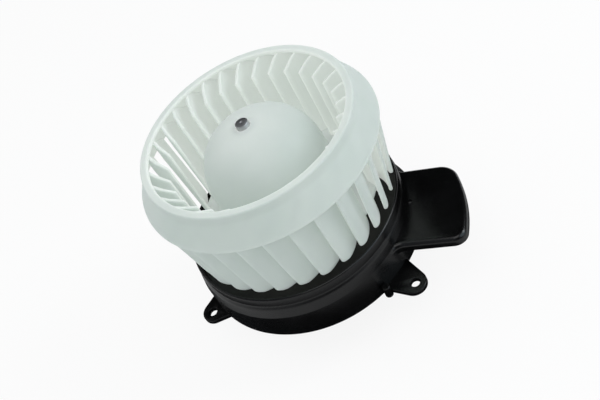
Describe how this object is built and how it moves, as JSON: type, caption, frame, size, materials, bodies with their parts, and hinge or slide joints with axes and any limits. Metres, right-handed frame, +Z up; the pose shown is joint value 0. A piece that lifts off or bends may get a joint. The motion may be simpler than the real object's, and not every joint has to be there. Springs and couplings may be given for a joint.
{
  "type": "cabin_blower_motor",
  "caption": "Car cabin blower: pale bladed wheel with a flared ring, turned by a motor inside a black round mounting base with ears and a side wing",
  "frame": {"origin": "centre of the flat round end of the motor cover, on the shaft's axis", "axes": "+Z up the shaft towards the wheel's inlet, +X along the side wing of the base, +Y completes the right-handed set"},
  "size_m": [0.1822, 0.1632, 0.1426],
  "materials": {
    "wheel_plastic": "satin",
    "shaft_steel": "ground",
    "core_steel": "matte",
    "winding_copper": "satin",
    "washer_plastic": "matte",
    "base_plastic": "satin",
    "cover_plastic": "satin",
    "plain_steel": "plated",
    "contact_brass": "satin",
    "bearing_bronze": "matte",
    "soft_rubber": "matte",
    "ferrite_grey": "matte",
    "card_plastic": "matte",
    "carbon_black": "matte"
  },
  "bodies": {
    "housing": {"mounting_base": "base_plastic", "motor_cover": "cover_plastic", "cover_screw_1": "plain_steel", "cover_screw_2": "plain_steel", "cover_screw_3": "plain_steel", "terminal_1": "contact_brass", "terminal_2": "contact_brass", "motor_can": "plain_steel", "end_plate": "plain_steel", "lower_bearing": "bearing_bronze", "upper_bearing": "bearing_bronze", "lower_bearing_clip": "plain_steel", "upper_bearing_clip": "plain_steel", "lower_isolator": "soft_rubber", "upper_isolator": "soft_rubber", "magnet_1": "ferrite_grey", "magnet_2": "ferrite_grey", "magnet_spring_1": "plain_steel", "magnet_spring_2": "plain_steel", "brush_plate": "card_plastic", "brush_holder_1": "contact_brass", "brush_holder_2": "contact_brass", "brush_1": "carbon_black", "brush_2": "carbon_black", "brush_spring_1": "plain_steel", "brush_spring_2": "plain_steel", "choke_1": "winding_copper", "choke_2": "winding_copper"},
    "rotor": {"impeller": "wheel_plastic", "shaft": "shaft_steel", "armature_core": "core_steel", "armature_winding": "winding_copper", "commutator": "winding_copper", "lower_thrust_washer": "washer_plastic", "upper_thrust_washer": "washer_plastic"}
  },
  "joints": [
    {"name": "rotor_spin", "type": "hinge", "parent": "housing", "child": "rotor", "pos_m": [0, 0, 0.02], "axis": [0, 0, 1], "continuous": true}
  ]
}
